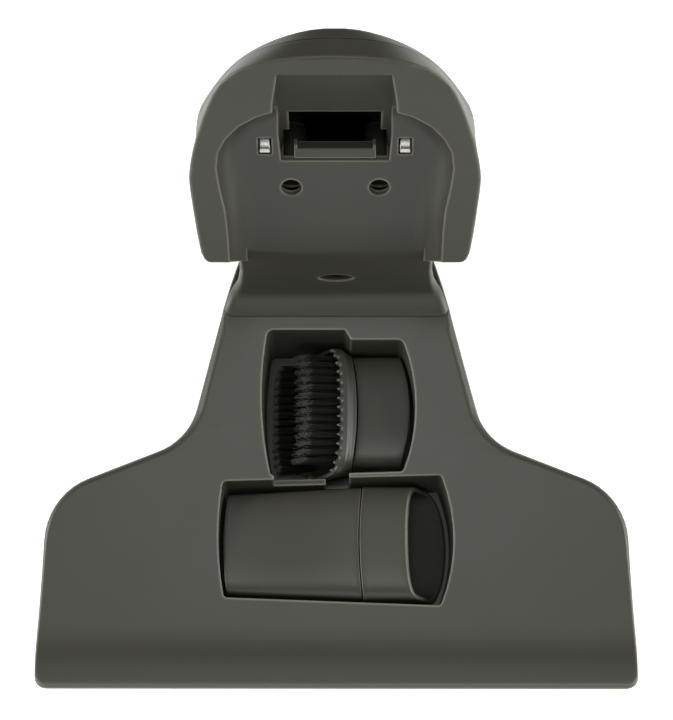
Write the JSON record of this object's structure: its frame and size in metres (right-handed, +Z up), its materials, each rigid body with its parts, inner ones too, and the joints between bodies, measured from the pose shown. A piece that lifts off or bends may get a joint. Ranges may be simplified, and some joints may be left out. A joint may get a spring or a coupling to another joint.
{
  "type": "cordless sweeper charging dock",
  "caption": "Floor-standing dock that stores and charges an upright cordless sweeper, with a hooded cradle, spring contacts and pockets for a brush and a wide nozzle.",
  "frame": {"origin": "floor level, under the centre of the dock's bounding box", "axes": "+X to the right seen from the front, the front edge faces -Y, +Z up"},
  "size_m": [0.2736, 0.228, 0.2127],
  "materials": {
    "olive_grey_plastic": "satin, fine spark-eroded texture",
    "dark_plastic": "matt",
    "black_bristle": "matt nylon filament",
    "nickel_spring": "bright nickel plate",
    "zinc_steel": "zinc plated",
    "foot_rubber": "matt",
    "board_laminate": "solder mask",
    "red_sleeve": "satin insulation",
    "black_sleeve": "satin insulation"
  },
  "bodies": {
    "dock": {"base_shell": "olive_grey_plastic", "base_cover": "dark_plastic", "column_front_shell": "olive_grey_plastic", "column_rear_cover": "olive_grey_plastic", "contact_holder_left": "dark_plastic", "contact_holder_right": "dark_plastic", "dc_jack": "dark_plastic", "jack_board": "board_laminate", "lead_left": "red_sleeve", "lead_right": "black_sleeve", "foot_front_left": "foot_rubber", "foot_front_right": "foot_rubber", "foot_side_left": "foot_rubber", "foot_side_right": "foot_rubber", "foot_rear_left": "foot_rubber", "foot_rear_right": "foot_rubber", "cover_screw_1": "zinc_steel", "cover_screw_2": "zinc_steel", "cover_screw_3": "zinc_steel", "cover_screw_4": "zinc_steel", "column_screw_1": "zinc_steel", "column_screw_2": "zinc_steel", "column_screw_3": "zinc_steel", "cradle_screw_left": "zinc_steel", "cradle_screw_right": "zinc_steel", "neck_screw": "zinc_steel"},
    "brush_tool": {"brush_socket": "olive_grey_plastic", "brush_head": "olive_grey_plastic", "bristles_upper": "black_bristle", "bristles_lower": "black_bristle"},
    "nozzle_tool": {"nozzle_body": "olive_grey_plastic", "nozzle_mouth": "olive_grey_plastic"},
    "catch": {"catch": "olive_grey_plastic"},
    "contact_left": {"contact_left": "nickel_spring"},
    "contact_right": {"contact_right": "nickel_spring"}
  },
  "joints": [
    {"name": "brush_lift", "type": "slide", "parent": "dock", "child": "brush_tool", "axis": [0, 0, 1], "range_m": [0, 0.12]},
    {"name": "nozzle_lift", "type": "slide", "parent": "dock", "child": "nozzle_tool", "axis": [0, 0, 1], "range_m": [0, 0.12]},
    {"name": "catch_flex", "type": "hinge", "parent": "dock", "child": "catch", "pos_m": [0, 0.07245, 0.12261], "axis": [-1, 0, 0], "range_deg": [0, 4], "stiffness_Nm_per_rad": 1.2},
    {"name": "contact_left_press", "type": "slide", "parent": "dock", "child": "contact_left", "axis": [0, 0.9272, -0.3746], "range_m": [0, 0.0012], "stiffness_N_per_m": 250},
    {"name": "contact_right_press", "type": "slide", "parent": "dock", "child": "contact_right", "axis": [0, 0.9272, -0.3746], "range_m": [0, 0.0012], "stiffness_N_per_m": 250}
  ]
}
